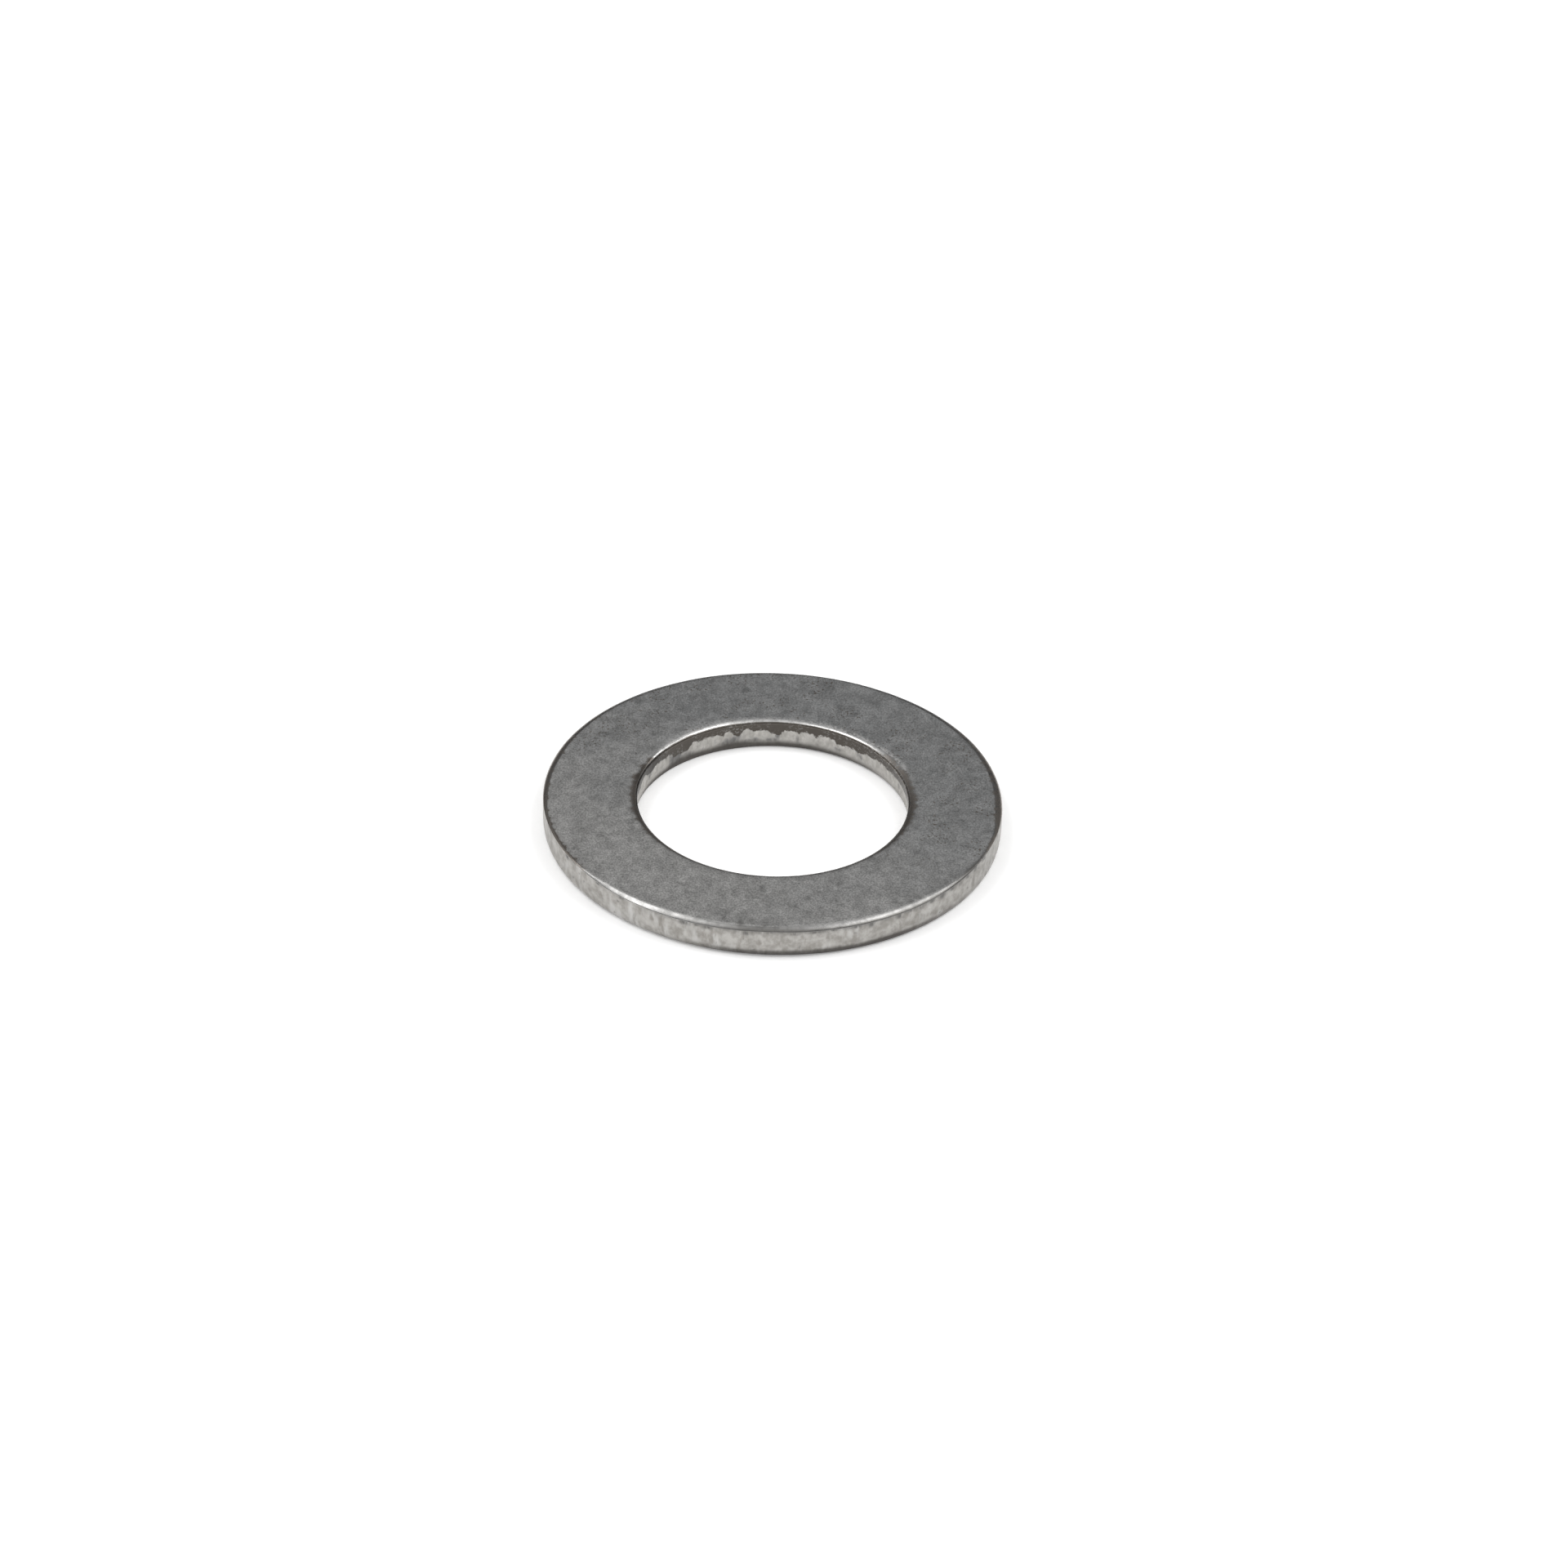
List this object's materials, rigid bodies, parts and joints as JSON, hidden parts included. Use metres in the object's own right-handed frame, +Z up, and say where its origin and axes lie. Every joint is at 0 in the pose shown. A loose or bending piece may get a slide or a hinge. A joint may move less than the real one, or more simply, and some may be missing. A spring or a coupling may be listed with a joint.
{
  "type": "flat washer",
  "caption": "Round flat steel washer with a central clearance hole, rolled upper edges and sheared rim and hole walls, for spreading a bolt head's load.",
  "frame": {"origin": "centre of the washer's underside, on the hole's axis", "axes": "+Z up along the hole's axis, from the underside to the face with the rolled edges; X and Y are any two directions across it, as the washer is round"},
  "size_m": [0.0222, 0.0222, 0.0016],
  "materials": {
    "washer_steel": "plain tumbled steel, matt grey face with fine peening marks, brighter sheared walls and edges, uncoated"
  },
  "bodies": {
    "root": {"washer": "washer_steel"}
  },
  "joints": []
}
